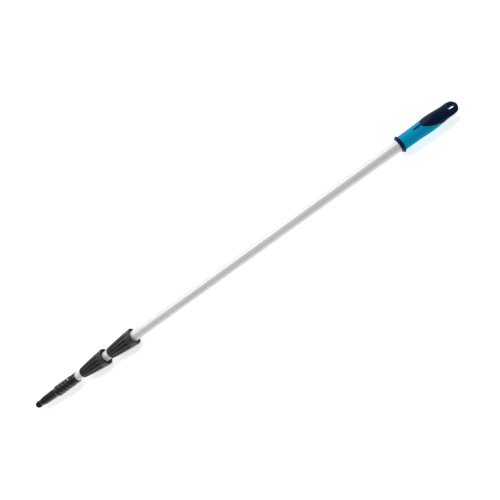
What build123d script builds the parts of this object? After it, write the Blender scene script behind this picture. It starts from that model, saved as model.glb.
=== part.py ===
from build123d import *
import math
import os

# Three-stage telescopic pole, collapsed, lying on its collars. Millimetres, +Z up.
# Each piece is drawn in the pole's own frame: X runs along the axis from the nose of the tool
# cone (x = 0) to the end of the grip, and the axis is at y = z = 0. place() then moves it so that
# the whole pole is centred over the origin and stands on z = 0.

# ---- driving dimensions -------------------------------------------------------------------------

# tubes: each is drawn to slide in the next larger one
OUTER_TUBE_R = 15.0
TUBE_WALL = 1.2
TUBE_GAP = 0.3

# lengths along the pole when it is collapsed
CONE_LENGTH = 162.0
INNER_TUBE_SHOWN = 20.0
COLLAR_LENGTH = 87.0
MIDDLE_TUBE_SHOWN = 17.0
OUTER_TUBE_SHOWN = 818.0
GRIP_LENGTH = 150.0
GRIP_SOCKET_SHARE = 0.57
CONE_SOCKET_DEPTH = 65.0
LEAST_OVERLAP = 140.0

# fits
RUNNING = 0.05
LOOSE = 0.35
END_GAP = 0.5
WEDGE_GAP = 0.12
NUT_ENTRY_GAP = 0.85
CAP_GAP = 0.7
HOLE_GAP = 0.2
OVERCUT = 1.0

# lock collars, measured beyond the tubes that they go round
MOUTH_HEIGHT = 9.6
NARROW_HEIGHT = 2.75
COLLAR_BULGE = 0.6
NUT_EDGE = 1.0
GROOVE_COUNT = 13
GROOVE_R = 1.7
GROOVE_DEPTH_NARROW = 1.2
GROOVE_DEPTH_WIDE = 2.6
GROOVE_ANGLE = 18.0
RIM_BAND = 17.0
RIM_FLAT_DEPTH = 0.6
FLAT_CUTTER = 10.0
CAP_THICKNESS = 3.0
CAP_WALL = 3.3
CAP_RECESS = 0.8
CAP_LEAD = 0.8

# lock sleeves and their threads
SLEEVE_WALL = 1.8
SLEEVE_LENGTH = 54.0
TUBE_END_FROM_MOUTH = 37.0
SLEEVE_REAR_MARGIN = 7.0
FLANGE_THICKNESS = 3.0
FLANGE_HEIGHT = 2.6
FINGER_WALL_FRONT = 0.8
FINGER_WALL_REAR = 1.7
FINGER_LENGTH = 20.0
FINGER_SLOTS = 6
SLOT_WIDTH = 1.6
RING_WALL_FRONT = 1.3
RING_LENGTH = 14.0
THREAD_PITCH = 4.0
THREAD_DEPTH = 0.8
THREAD_ROOT_WIDTH = 1.6
THREAD_CREST_WIDTH = 0.9
THREAD_LENGTH = 18.0
THREAD_SINK = 0.15
THREAD_LEAD = 1.5
CHAMBER_SLOPE = 3.0
PIN_R = 1.5
PIN_LENGTH = 2.6
PIN_SUNK = 0.2
PIN_BEHIND_THREAD = 4.0

# guide bushes in the rear ends of the sliding tubes
BUSH_FLANGE = 12.0
BUSH_SPIGOT = 25.0
BUSH_BORE_R = 7.0
BUSH_LIP_POSITION = 10.0
BUSH_EDGE = 1.0
SWAGE_WIDTH = 3.0
SWAGE_DEPTH = 0.45
BEAD_WIDTH = 8.0
END_PLUG_LENGTH = 14.0

# tool cone
BALL_R = 10.0
NECK_R = 9.9
NECK_X = 20.5
NOSE_START_X = 31.0
NOSE_START_R = 12.0
LAND_R = 13.1
LAND_LENGTH = 12.0
STEP_X = 81.0
STEP_HEIGHT = 1.0
RIB_COUNT = 5
RIB_START_X = 88.5
RIB_PITCH = 12.6
RIB_CREST_HEIGHT = 4.1
RIB_VALLEY_HEIGHT = 3.0
RIB_TAPER = 0.1
CONE_RIM_HEIGHT = 2.4
CONE_RIM_LENGTH = 5.0
CONE_CORE_R = 8.0
STEM_R = 4.5
STEM_LENGTH = 12.0
SCREW_FROM_RIM = 25.0
SCREW_ANGLE = -17.0
SCREW_HEAD_R = 2.9
SCREW_HEAD_HEIGHT = 1.5
SCREW_SHANK_R = 1.5
SCREW_SHANK_LENGTH = 8.0
SCREW_SEAT_HEIGHT = 2.2
PLUG_LENGTH = 36.0
PLUG_BORE_R = 2.0

# grip: heights are beyond the outer tube, and places along it are shares of its length
WAIST_HEIGHT = 3.0
SOFT_BORE_HEIGHT = 1.8
RING_HEIGHT = 6.75
RING_PEAK_X = 5.5
RING_PEAK_WIDTH = 2.0
RING_END_X = 8.0
BODY_START_X = 6.5
GRIP_STATIONS = [
    # share of the grip's length, half width and half thickness beyond the waist
    (0.200, 0.0, 0.0),
    (0.367, 0.4, 0.4),
    (0.533, 1.3, 1.1),
    (0.633, 1.0, -0.8),
    (0.733, 0.3, -5.0),
    (0.813, -0.2, -8.8),
    (0.880, -0.6, -10.6),
    (0.933, -2.4, -11.6),
    (0.973, -6.6, -12.6),
    (0.993, -11.4, -14.2),
]
SOFT_TOP_SHARE = 0.407
SOFT_MIDDLE_SHARE = 0.62
SOFT_MIDDLE_Z = 5.0
SOFT_BOTTOM_SHARE = 0.733
TONGUE_SHARE = 0.28
TONGUE_WIDTH = 5.4
SLOT_LENGTH = 17.0
SLOT_R = 4.6
SLOT_END_MARGIN = 6.0

# ---- places that follow from them ---------------------------------------------------------------

OUTER_BORE_R = OUTER_TUBE_R - TUBE_WALL
MIDDLE_TUBE_R = OUTER_BORE_R - TUBE_GAP
MIDDLE_BORE_R = MIDDLE_TUBE_R - TUBE_WALL
INNER_TUBE_R = MIDDLE_BORE_R - TUBE_GAP
INNER_BORE_R = INNER_TUBE_R - TUBE_WALL

FRONT_COLLAR_X = CONE_LENGTH + INNER_TUBE_SHOWN
REAR_COLLAR_X = FRONT_COLLAR_X + COLLAR_LENGTH + MIDDLE_TUBE_SHOWN
GRIP_X = REAR_COLLAR_X + COLLAR_LENGTH + OUTER_TUBE_SHOWN
POLE_LENGTH = GRIP_X + GRIP_LENGTH

MOUTH_R = OUTER_TUBE_R + MOUTH_HEIGHT
AXIS_HEIGHT = MOUTH_R - RIM_FLAT_DEPTH
GROOVE_LENGTH = COLLAR_LENGTH - RIM_BAND
TUBE_END_IN_COLLAR = COLLAR_LENGTH - TUBE_END_FROM_MOUTH
SLEEVE_FRONT = COLLAR_LENGTH - SLEEVE_REAR_MARGIN - SLEEVE_LENGTH

WAIST_R = OUTER_TUBE_R + WAIST_HEIGHT
RING_R = OUTER_TUBE_R + RING_HEIGHT
SCREW_SEAT_R = INNER_TUBE_R + SCREW_SEAT_HEIGHT

OUTER_FRONT_X = REAR_COLLAR_X + TUBE_END_IN_COLLAR
OUTER_REAR_X = GRIP_X + GRIP_SOCKET_SHARE * GRIP_LENGTH
MIDDLE_FRONT_X = FRONT_COLLAR_X + TUBE_END_IN_COLLAR
MIDDLE_REAR_X = OUTER_REAR_X - END_PLUG_LENGTH - BUSH_FLANGE - 2 * END_GAP
INNER_FRONT_X = CONE_LENGTH - CONE_SOCKET_DEPTH
INNER_REAR_X = MIDDLE_REAR_X - BUSH_SPIGOT - BUSH_FLANGE - 2 * END_GAP


def place(piece):
    """Moves a piece from the pole's frame to the part's frame."""
    return Pos(-POLE_LENGTH / 2, 0, AXIS_HEIGHT) * piece


def turned(points):
    """Revolves a closed outline of (x, radius) points about the pole's axis."""
    return revolve(make_face(Plane.XZ * Polyline(*points, close=True)), Axis.X)


def round_bar(x0, x1, radius):
    return Pos((x0 + x1) / 2, 0, 0) * Rot(0, 90, 0) * Cylinder(radius, x1 - x0)


def around(piece, angle):
    """Turns a piece about the pole's axis."""
    return Rot(angle, 0, 0) * piece


def radial_bar(x, radius, r0, r1):
    """A round bar that points away from the pole's axis along +Z, from radius r0 to r1."""
    return Pos(x, 0, (r0 + r1) / 2) * Cylinder(radius, r1 - r0)


# ---- tubes --------------------------------------------------------------------------------------


def plain_tube(x0, x1, radius):
    return round_bar(x0, x1, radius) - round_bar(x0, x1, radius - TUBE_WALL)


def ring_band(x, width, r0, r1, swell):
    """A band of tube wall that is swaged out (swell > 0) or in, with sloping sides."""
    half = width / 2
    slope = abs(swell)
    outline = [
        (x - half, r0),
        (x - half + slope, r0 + swell),
        (x + half - slope, r0 + swell),
        (x + half, r0),
        (x + half, r1),
        (x + half - slope, r1 + swell),
        (x - half + slope, r1 + swell),
        (x - half, r1),
    ]
    return turned(outline)


def swaged_tube(x0, x1, radius, housing_bore):
    """A sliding tube: a stop bead that runs in the next tube, and a groove that holds the bush."""
    bore = radius - TUBE_WALL
    bead_x = x1 - LEAST_OVERLAP
    bead_swell = housing_bore - RUNNING - radius
    lip_x = x1 - BUSH_LIP_POSITION
    bands = [
        (bead_x, BEAD_WIDTH, bead_swell),
        (lip_x, SWAGE_WIDTH, -SWAGE_DEPTH),
    ]
    tube = plain_tube(x0, x1, radius)
    for x, width, swell in bands:
        tube -= plain_tube(x - width / 2, x + width / 2, radius)
        tube += ring_band(x, width, bore, radius, swell)
    return tube


def sleeve_pin_holes(collar_x, tube_r):
    """The two holes through a tube and its lock sleeve, on opposite sides."""
    x = collar_x + TUBE_END_IN_COLLAR + THREAD_LENGTH + PIN_BEHIND_THREAD
    hole = radial_bar(x, PIN_R, tube_r - TUBE_WALL - OVERCUT, tube_r + SLEEVE_WALL + OVERCUT)
    return [around(hole, 90), around(hole, 270)]


def sleeve_pins(collar_x, tube_r):
    x = collar_x + TUBE_END_IN_COLLAR + THREAD_LENGTH + PIN_BEHIND_THREAD
    top = tube_r + SLEEVE_WALL - PIN_SUNK
    pin = radial_bar(x, PIN_R, top - PIN_LENGTH, top)
    return Compound([around(pin, 90), around(pin, 270)])


def outer_tube():
    tube = plain_tube(OUTER_FRONT_X, OUTER_REAR_X, OUTER_TUBE_R)
    for hole in sleeve_pin_holes(REAR_COLLAR_X, OUTER_TUBE_R):
        tube -= hole
    return tube


def middle_tube():
    tube = swaged_tube(MIDDLE_FRONT_X, MIDDLE_REAR_X, MIDDLE_TUBE_R, OUTER_BORE_R)
    for hole in sleeve_pin_holes(FRONT_COLLAR_X, MIDDLE_TUBE_R):
        tube -= hole
    return tube


def inner_tube():
    tube = swaged_tube(INNER_FRONT_X, INNER_REAR_X, INNER_TUBE_R, MIDDLE_BORE_R)
    for hole in screw_holes(SCREW_SHANK_R + HOLE_GAP, INNER_BORE_R - OVERCUT):
        tube -= hole
    return tube


def guide_bush(tube_end_x, bore_r, housing_bore):
    """A flanged plug in a tube's rear end, free to turn there, that slides in the next tube."""
    flange_r = housing_bore - RUNNING
    spigot_r = bore_r - RUNNING
    face_x = tube_end_x + END_GAP / 2
    lip_x = tube_end_x - BUSH_LIP_POSITION
    half = SWAGE_WIDTH / 2
    groove_r = spigot_r - SWAGE_DEPTH - 2 * RUNNING
    outline = [
        (tube_end_x - BUSH_SPIGOT, BUSH_BORE_R),
        (tube_end_x - BUSH_SPIGOT, spigot_r - BUSH_EDGE),
        (tube_end_x - BUSH_SPIGOT + BUSH_EDGE, spigot_r),
        (lip_x - half, spigot_r),
        (lip_x - half, groove_r),
        (lip_x + half, groove_r),
        (lip_x + half, spigot_r),
        (face_x, spigot_r),
        (face_x, flange_r),
        (face_x + BUSH_FLANGE - BUSH_EDGE, flange_r),
        (face_x + BUSH_FLANGE, flange_r - BUSH_EDGE),
        (face_x + BUSH_FLANGE, BUSH_BORE_R),
    ]
    return turned(outline)


def outer_end_plug():
    """The buffer that closes the outer tube inside the grip; the guide bush stops against it."""
    return round_bar(OUTER_REAR_X - END_PLUG_LENGTH, OUTER_REAR_X, OUTER_BORE_R)


# ---- lock collars -------------------------------------------------------------------------------


def collar_radius(narrow_r, x):
    """Outside radius of a collar, x from its narrow end: a cone with a slight bulge."""
    share = x / COLLAR_LENGTH
    return narrow_r + (MOUTH_R - narrow_r) * share + 4 * COLLAR_BULGE * share * (1 - share)


def thread_ridge(base_r, tip_r, x0):
    """One helical right-hand ridge along X. base_r may be inside or outside tip_r."""
    middle_r = (base_r + tip_r) / 2
    helix = Helix(pitch=THREAD_PITCH, height=THREAD_LENGTH, radius=middle_r)
    start = Plane(origin=helix @ 0, x_dir=(1, 0, 0), z_dir=helix % 0)
    grow = 1 if tip_r > base_r else -1
    low = (base_r - middle_r) - grow * THREAD_SINK
    high = tip_r - middle_r
    root = THREAD_ROOT_WIDTH / 2
    crest = THREAD_CREST_WIDTH / 2
    outline = Polyline((low, -root), (high, -crest), (high, crest), (low, root), close=True)
    ridge = sweep(make_face(start * outline), path=helix, is_frenet=True)
    return Pos(x0, 0, 0) * Rot(0, 90, 0) * ridge


def sleeve_radii(tube_r, slide_r):
    core = tube_r + SLEEVE_WALL
    return core, core + THREAD_DEPTH, slide_r + RUNNING


def lock_sleeve(collar_x, tube_r, slide_r):
    """The split sleeve on a tube's front end: thread outside, gripping fingers in front."""
    core, _, bore = sleeve_radii(tube_r, slide_r)
    front = collar_x + SLEEVE_FRONT
    tube_end = collar_x + TUBE_END_IN_COLLAR
    rear = collar_x + COLLAR_LENGTH - SLEEVE_REAR_MARGIN
    outline = [
        (front, bore),
        (front, slide_r + FINGER_WALL_FRONT),
        (front + FINGER_LENGTH, slide_r + FINGER_WALL_REAR),
        (tube_end + THREAD_LEAD / 2, core),
        (rear - FLANGE_THICKNESS, core),
        (rear - FLANGE_THICKNESS, core + FLANGE_HEIGHT),
        (rear, core + FLANGE_HEIGHT),
        (rear, tube_r),
        (tube_end, tube_r),
        (tube_end, bore),
    ]
    sleeve = turned(outline)
    slot_box = Box(FINGER_LENGTH, SLOT_WIDTH, 2 * core)
    slot = Pos(front + FINGER_LENGTH / 2 - OVERCUT, 0, core) * slot_box
    for i in range(FINGER_SLOTS):
        sleeve -= around(slot, i * 360 / FINGER_SLOTS)
    for hole in sleeve_pin_holes(collar_x, tube_r):
        sleeve -= hole
    sleeve += thread_ridge(core, core + THREAD_DEPTH, tube_end + THREAD_LEAD)
    return sleeve


def clamp_ring(collar_x, slide_r):
    """The wedge ring that the nut pushes over the fingers."""
    front = collar_x + SLEEVE_FRONT + END_GAP
    slope = (FINGER_WALL_REAR - FINGER_WALL_FRONT) / FINGER_LENGTH
    inner_front = slide_r + FINGER_WALL_FRONT + slope * END_GAP + WEDGE_GAP
    inner_rear = inner_front + slope * RING_LENGTH
    outer = ring_outer_r(slide_r)
    outline = [
        (front, inner_front),
        (front, outer),
        (front + RING_LENGTH, outer),
        (front + RING_LENGTH, inner_rear),
    ]
    return turned(outline)


def ring_outer_r(slide_r):
    return slide_r + FINGER_WALL_FRONT + WEDGE_GAP + RING_WALL_FRONT


def lock_nut(collar_x, tube_r, slide_r):
    """The fluted cone that is turned by hand; its wide mouth faces the grip."""
    core, crest, _ = sleeve_radii(tube_r, slide_r)
    narrow_r = slide_r + NARROW_HEIGHT
    entry_r = slide_r + NUT_ENTRY_GAP
    end = collar_x + COLLAR_LENGTH
    tube_end = collar_x + TUBE_END_IN_COLLAR
    flange_x = end - SLEEVE_REAR_MARGIN - FLANGE_THICKNESS - 2 * END_GAP
    cap_x = end - CAP_RECESS - CAP_THICKNESS
    chamber_r = ring_outer_r(slide_r) + LOOSE
    thread_bore = crest + LOOSE
    flange_bore = core + FLANGE_HEIGHT + LOOSE
    cap_seat_r = MOUTH_R - CAP_WALL
    front = [
        (collar_x, entry_r),
        (collar_x, narrow_r - NUT_EDGE),
        (collar_x + NUT_EDGE, collar_radius(narrow_r, NUT_EDGE)),
    ]
    middle = (collar_x + COLLAR_LENGTH / 2, collar_radius(narrow_r, COLLAR_LENGTH / 2))
    rear = (end - NUT_EDGE, collar_radius(narrow_r, COLLAR_LENGTH - NUT_EDGE))
    inside = [
        rear,
        (end, MOUTH_R - NUT_EDGE),
        (end, cap_seat_r),
        (cap_x, cap_seat_r),
        (cap_x, flange_bore),
        (flange_x, flange_bore),
        (flange_x, thread_bore),
        (tube_end - THREAD_LEAD, thread_bore),
        (tube_end - THREAD_LEAD - CHAMBER_SLOPE, chamber_r),
        (collar_x + SLEEVE_FRONT, chamber_r),
        (collar_x + SLEEVE_FRONT, entry_r),
        (collar_x, entry_r),
    ]
    outline = Polyline(*front) + ThreePointArc(front[-1], middle, rear) + Polyline(*inside)
    nut = revolve(make_face(Plane.XZ * outline), Axis.X)
    nut -= grooves(collar_x, narrow_r)
    nut -= rim_flats(end)
    nut += thread_ridge(thread_bore, core + LOOSE, tube_end + THREAD_LEAD + THREAD_PITCH / 2)
    return nut


def grooves(collar_x, narrow_r):
    """Round-bottomed grooves that get deeper towards the mouth and run out before the rim."""
    start_r = collar_radius(narrow_r, 0.0) - GROOVE_DEPTH_NARROW + GROOVE_R
    stop_r = collar_radius(narrow_r, GROOVE_LENGTH) - GROOVE_DEPTH_WIDE + GROOVE_R
    a = Vector(collar_x - GROOVE_R, 0, start_r)
    b = Vector(collar_x + GROOVE_LENGTH, 0, stop_r)
    along = b - a
    cutter = Plane(origin=a, z_dir=along) * Cylinder(
        GROOVE_R, along.length, align=(Align.CENTER, Align.CENTER, Align.MIN)
    )
    cutter += Pos(b.X, b.Y, b.Z) * Sphere(GROOVE_R)
    step = 360 / GROOVE_COUNT
    return [around(cutter, GROOVE_ANGLE + i * step) for i in range(GROOVE_COUNT)]


def rim_flats(end):
    """Small flats on the rim that stop the pole from rolling. One is at the very bottom."""
    length = RIM_BAND - 2 * GROOVE_R + OVERCUT
    flat = Pos(end + OVERCUT - length / 2, 0, AXIS_HEIGHT + FLAT_CUTTER / 2) * Box(
        length, 2 * FLAT_CUTTER, FLAT_CUTTER
    )
    step = 360 / GROOVE_COUNT
    return [around(flat, 180 + i * step) for i in range(GROOVE_COUNT)]


def nut_cap(collar_x, tube_r):
    """The ring that closes the mouth of a nut behind the sleeve's flange."""
    end = collar_x + COLLAR_LENGTH - CAP_RECESS
    outline = [
        (end - CAP_THICKNESS, tube_r + CAP_GAP),
        (end - CAP_THICKNESS, MOUTH_R - CAP_WALL),
        (end, MOUTH_R - CAP_WALL),
        (end, tube_r + CAP_GAP + CAP_LEAD),
        (end - CAP_LEAD, tube_r + CAP_GAP),
    ]
    return turned(outline)


# ---- tool cone ----------------------------------------------------------------------------------


def screw_holes(radius, r0):
    r1 = INNER_TUBE_R + RIB_CREST_HEIGHT + OVERCUT
    hole = radial_bar(CONE_LENGTH - SCREW_FROM_RIM, radius, r0, r1)
    return [around(hole, SCREW_ANGLE), around(hole, 180 + SCREW_ANGLE)]


def tool_cone():
    """The moulded end that tools push onto: nose, locating land and ribbed sleeve."""
    valley_r = INNER_TUBE_R + RIB_VALLEY_HEIGHT
    rim_r = INNER_TUBE_R + CONE_RIM_HEIGHT
    outside = [
        (NOSE_START_X, NOSE_START_R),
        (STEP_X - LAND_LENGTH, LAND_R),
        (STEP_X, LAND_R),
        (STEP_X, LAND_R + STEP_HEIGHT),
    ]
    waves = [outside[-1]]
    for i in range(RIB_COUNT):
        crest_x = RIB_START_X + i * RIB_PITCH
        waves.append((crest_x, INNER_TUBE_R + RIB_CREST_HEIGHT - RIB_TAPER * i))
        waves.append((crest_x + RIB_PITCH / 2, valley_r))
    waves.append((CONE_LENGTH - CONE_RIM_LENGTH, (valley_r + 2 * rim_r) / 3 + RIB_TAPER))
    waves.append((CONE_LENGTH, rim_r))
    ribs = Spline(*waves, tangents=[(0.35, 1), (1, -0.25)])
    socket_x = CONE_LENGTH - CONE_SOCKET_DEPTH
    stem_end = NECK_X + STEM_LENGTH
    inside = [
        (CONE_LENGTH, rim_r),
        (CONE_LENGTH, INNER_TUBE_R),
        (socket_x, INNER_TUBE_R),
        (socket_x, CONE_CORE_R),
        (stem_end, CONE_CORE_R),
        (stem_end, STEM_R),
        (NECK_X, STEM_R),
        (NECK_X, NECK_R),
        (NOSE_START_X, NOSE_START_R),
    ]
    outline = Polyline(*outside) + ribs + Polyline(*inside)
    cone = revolve(make_face(Plane.XZ * outline), Axis.X)
    for hole in screw_holes(SCREW_SHANK_R + HOLE_GAP, INNER_BORE_R):
        cone -= hole
    for seat in screw_holes(SCREW_HEAD_R + HOLE_GAP, SCREW_SEAT_R):
        cone -= seat
    return cone


def nose_cap():
    """The soft ball on the nose, held by a stem in the cone."""
    ball = Pos(BALL_R, 0, 0) * Sphere(BALL_R)
    neck = [
        (BALL_R, 0),
        (BALL_R, BALL_R),
        (NECK_X - 4.0, BALL_R - 0.15),
        (NECK_X, NECK_R),
        (NECK_X, STEM_R),
        (NECK_X + STEM_LENGTH, STEM_R),
        (NECK_X + STEM_LENGTH, 0),
    ]
    return ball + turned(neck)


def inner_tube_plug():
    """The core inside the inner tube that the cone's screws bite into."""
    x = CONE_LENGTH - SCREW_FROM_RIM
    plug = round_bar(x - PLUG_LENGTH / 2, x + PLUG_LENGTH / 2, INNER_BORE_R)
    plug -= round_bar(x - PLUG_LENGTH / 2, x + PLUG_LENGTH / 2, PLUG_BORE_R)
    for hole in screw_holes(SCREW_SHANK_R, 0):
        plug -= hole
    return plug


def cone_screws():
    """Two domed screws on opposite sides of the cone."""
    x = CONE_LENGTH - SCREW_FROM_RIM
    dome_r = (SCREW_HEAD_R**2 + SCREW_HEAD_HEIGHT**2) / (2 * SCREW_HEAD_HEIGHT)
    head = Pos(x, 0, SCREW_SEAT_R + SCREW_HEAD_HEIGHT - dome_r) * Sphere(dome_r)
    head &= radial_bar(x, SCREW_HEAD_R, SCREW_SEAT_R, SCREW_SEAT_R + SCREW_HEAD_HEIGHT)
    shank = radial_bar(x, SCREW_SHANK_R, SCREW_SEAT_R - SCREW_SHANK_LENGTH, SCREW_SEAT_R)
    screw = head + shank
    return Compound([around(screw, SCREW_ANGLE), around(screw, 180 + SCREW_ANGLE)])


# ---- grip ---------------------------------------------------------------------------------------


def grip_body():
    """The grip's outside: a handle that is round in front and flattens to a paddle behind."""
    stations = [(BODY_START_X / GRIP_LENGTH, GRIP_STATIONS[1][1], GRIP_STATIONS[1][2])] + GRIP_STATIONS
    sections = []
    for share, wider, thicker in stations:
        x = GRIP_X + share * GRIP_LENGTH
        plane = Plane(origin=(x, 0, 0), x_dir=(0, 1, 0), z_dir=(1, 0, 0))
        sections.append(plane * Ellipse(WAIST_R + wider, WAIST_R + thicker))
    body = loft(sections)
    end_size = (POLE_LENGTH - x, WAIST_R + wider, WAIST_R + thicker)
    return body + Pos(x, 0, 0) * scale(Sphere(1.0), by=end_size)


def soft_zone():
    """The block whose overlap with the grip's outside is the soft sleeve."""
    tall = 2 * RING_R
    top = (GRIP_X + SOFT_TOP_SHARE * GRIP_LENGTH, WAIST_R)
    bottom = (GRIP_X + SOFT_BOTTOM_SHARE * GRIP_LENGTH, -WAIST_R)
    middle = (GRIP_X + SOFT_MIDDLE_SHARE * GRIP_LENGTH, SOFT_MIDDLE_Z)
    front_x = GRIP_X + RING_END_X
    edge = Polyline(bottom, (bottom[0], -tall), (front_x, -tall), (front_x, tall), (top[0], tall), top)
    outline = edge + ThreePointArc(top, middle, bottom)
    zone = extrude(make_face(Plane.XZ * outline), tall, both=True)
    tongue_x = GRIP_X + TONGUE_SHARE * GRIP_LENGTH
    tongue_length = middle[0] - tongue_x
    tongue = Pos(tongue_x + tongue_length / 2, 0, tall / 2) * Box(tongue_length, TONGUE_WIDTH, tall)
    return zone - tongue


def grip_sleeve(body):
    return (body & soft_zone()) - round_bar(GRIP_X, POLE_LENGTH, OUTER_TUBE_R + SOFT_BORE_HEIGHT)


def grip_core(body, sleeve):
    ring = turned(
        [
            (GRIP_X, OUTER_TUBE_R),
            (GRIP_X, WAIST_R),
            (GRIP_X + RING_PEAK_X - RING_PEAK_WIDTH / 2, RING_R),
            (GRIP_X + RING_PEAK_X + RING_PEAK_WIDTH / 2, RING_R),
            (GRIP_X + RING_END_X, WAIST_R),
            (GRIP_X + RING_END_X, OUTER_TUBE_R),
        ]
    )
    core = (body - sleeve) + ring
    core -= round_bar(GRIP_X, OUTER_REAR_X, OUTER_TUBE_R)
    slot_end = POLE_LENGTH - SLOT_END_MARGIN
    slot = Pos(slot_end - SLOT_LENGTH / 2, 0, 0) * extrude(
        SlotOverall(SLOT_LENGTH, 2 * SLOT_R), RING_R, both=True
    )
    return core - slot


# ---- assembly -----------------------------------------------------------------------------------


def all_pieces():
    body = grip_body()
    sleeve = grip_sleeve(body)
    return {
        "outer_tube": outer_tube(),
        "outer_end_plug": outer_end_plug(),
        "grip_core": grip_core(body, sleeve),
        "grip_sleeve": sleeve,
        "rear_lock_sleeve": lock_sleeve(REAR_COLLAR_X, OUTER_TUBE_R, MIDDLE_TUBE_R),
        "rear_sleeve_pins": sleeve_pins(REAR_COLLAR_X, OUTER_TUBE_R),
        "rear_clamp_ring": clamp_ring(REAR_COLLAR_X, MIDDLE_TUBE_R),
        "rear_lock_nut": lock_nut(REAR_COLLAR_X, OUTER_TUBE_R, MIDDLE_TUBE_R),
        "rear_nut_cap": nut_cap(REAR_COLLAR_X, OUTER_TUBE_R),
        "middle_tube": middle_tube(),
        "middle_guide_bush": guide_bush(MIDDLE_REAR_X, MIDDLE_BORE_R, OUTER_BORE_R),
        "front_lock_sleeve": lock_sleeve(FRONT_COLLAR_X, MIDDLE_TUBE_R, INNER_TUBE_R),
        "front_sleeve_pins": sleeve_pins(FRONT_COLLAR_X, MIDDLE_TUBE_R),
        "front_clamp_ring": clamp_ring(FRONT_COLLAR_X, INNER_TUBE_R),
        "front_lock_nut": lock_nut(FRONT_COLLAR_X, MIDDLE_TUBE_R, INNER_TUBE_R),
        "front_nut_cap": nut_cap(FRONT_COLLAR_X, MIDDLE_TUBE_R),
        "inner_tube": inner_tube(),
        "inner_guide_bush": guide_bush(INNER_REAR_X, INNER_BORE_R, MIDDLE_BORE_R),
        "inner_tube_plug": inner_tube_plug(),
        "tool_cone": tool_cone(),
        "nose_cap": nose_cap(),
        "cone_screws": cone_screws(),
    }


os.makedirs("parts", exist_ok=True)
for name, piece in all_pieces().items():
    export_step(place(piece), f"parts/{name}.step")
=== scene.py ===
import math

import bmesh
import bpy
import numpy as np
from mathutils import Matrix, Vector


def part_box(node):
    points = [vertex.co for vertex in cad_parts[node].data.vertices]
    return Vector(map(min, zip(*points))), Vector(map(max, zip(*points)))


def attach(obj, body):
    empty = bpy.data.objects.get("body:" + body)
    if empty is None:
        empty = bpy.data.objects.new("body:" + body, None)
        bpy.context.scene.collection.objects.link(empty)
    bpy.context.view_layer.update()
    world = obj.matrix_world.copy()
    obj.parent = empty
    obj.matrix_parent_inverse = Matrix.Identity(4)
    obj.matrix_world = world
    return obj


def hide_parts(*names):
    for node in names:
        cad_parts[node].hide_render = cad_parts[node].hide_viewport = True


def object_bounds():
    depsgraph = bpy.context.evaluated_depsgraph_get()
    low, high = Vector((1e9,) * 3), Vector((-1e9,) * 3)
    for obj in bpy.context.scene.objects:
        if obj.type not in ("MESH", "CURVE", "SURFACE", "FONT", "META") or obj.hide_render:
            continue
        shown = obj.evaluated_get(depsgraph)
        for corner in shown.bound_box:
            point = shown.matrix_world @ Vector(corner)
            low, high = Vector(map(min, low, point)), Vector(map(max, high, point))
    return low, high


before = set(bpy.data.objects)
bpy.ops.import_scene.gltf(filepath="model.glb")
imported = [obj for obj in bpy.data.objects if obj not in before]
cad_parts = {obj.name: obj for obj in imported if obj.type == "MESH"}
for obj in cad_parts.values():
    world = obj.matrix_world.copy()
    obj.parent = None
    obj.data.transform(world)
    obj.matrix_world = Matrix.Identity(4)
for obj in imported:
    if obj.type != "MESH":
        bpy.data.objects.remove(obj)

# The looks of a three-stage telescopic pole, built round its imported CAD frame. Lengths in the shape
# functions are millimetres in the pole's own frame: x runs along the axis from the nose of the tool
# cone, and an angle is measured round the axis from the top towards -Y. shown() turns them to metres.

CAD_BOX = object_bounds()
MM = 0.001

# ---- places and sizes read from the frame --------------------------------------------------------

NOSE_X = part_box("nose_cap")[0].x
AXIS_Z = sum(corner.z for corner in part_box("outer_tube")) / 2
POLE_LENGTH = (CAD_BOX[1].x - CAD_BOX[0].x) / MM


def span(node):
    """Where a node starts and ends along the pole, in millimetres from the nose."""
    low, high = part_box(node)
    return (low.x - NOSE_X) / MM, (high.x - NOSE_X) / MM


def half_width(node):
    low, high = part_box(node)
    return (high.y - low.y) / 2 / MM


TUBE_WALL = 1.2
TUBE_STEP = 1.5  # how much smaller each tube's radius is than the last
OUTER_R = half_width("outer_tube")
MIDDLE_R = OUTER_R - TUBE_STEP
INNER_R = MIDDLE_R - TUBE_STEP
TUBE_EDGE = 0.25
BAND_EDGE = 0.5
BAND_SLOPE = 0.4
BEAD = (140.0, 8.0, 0.25)  # distance from the tube's rear end, width, and height of the band
SWAGE = (10.0, 3.0, -0.45)
ROUND_COLUMNS = 128  # points round a tube or ring

# collars
GROOVE_COUNT = 13
GROOVE_STEP = 2 * math.pi / GROOVE_COUNT
GROOVE_ANGLE = math.radians(18)
GROOVE_HALF_WIDTH = 2.7
GROOVE_DEPTHS = (1.25, 3.0)
RIB_CROWN = 0.55
GROOVE_LENGTH = 70.0
GROOVE_RUN_OUT = 2.4
FLAT_DEPTH = 0.6
FLAT_START = 73.0
FLAT_R = AXIS_Z / MM
MOUTH_R = FLAT_R + FLAT_DEPTH
NARROW_HEIGHT = 2.75
COLLAR_BULGE = 0.6
COLLAR_EDGE = 1.0
LEAST_WALL = 1.15
GROOVE_SHARPNESS = 1.9
PLAIN_MARGIN = 4.0
LIP_HEIGHT = 1.6  # beyond the cap's seat
SEAT_GAP = 0.05
CHAMBER_DEPTH = 11.0  # from the mouth
CHAMBER_HEIGHT = 4.75  # beyond the tube that the collar goes round
THREAD_BORE_HEIGHT = 2.95
THREAD_BORE_X = 48.5  # from the narrow face
RING_BORE_X = 45.5
RING_SEAT_X = 26.0
RING_BORE_HEIGHT = 2.57  # beyond the tube that slides through
ENTRY_HEIGHT = 0.85
ENTRY_LEAD = 1.0

# the ring that closes a collar's mouth
CAP_GAP = 0.7
CAP_RIM = 1.2
CAP_RIM_FOOT = 1.6
CAP_DISH = 0.5
CAP_BEAD = (2.4, 1.9, 1.2)  # heights beyond the tube

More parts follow.
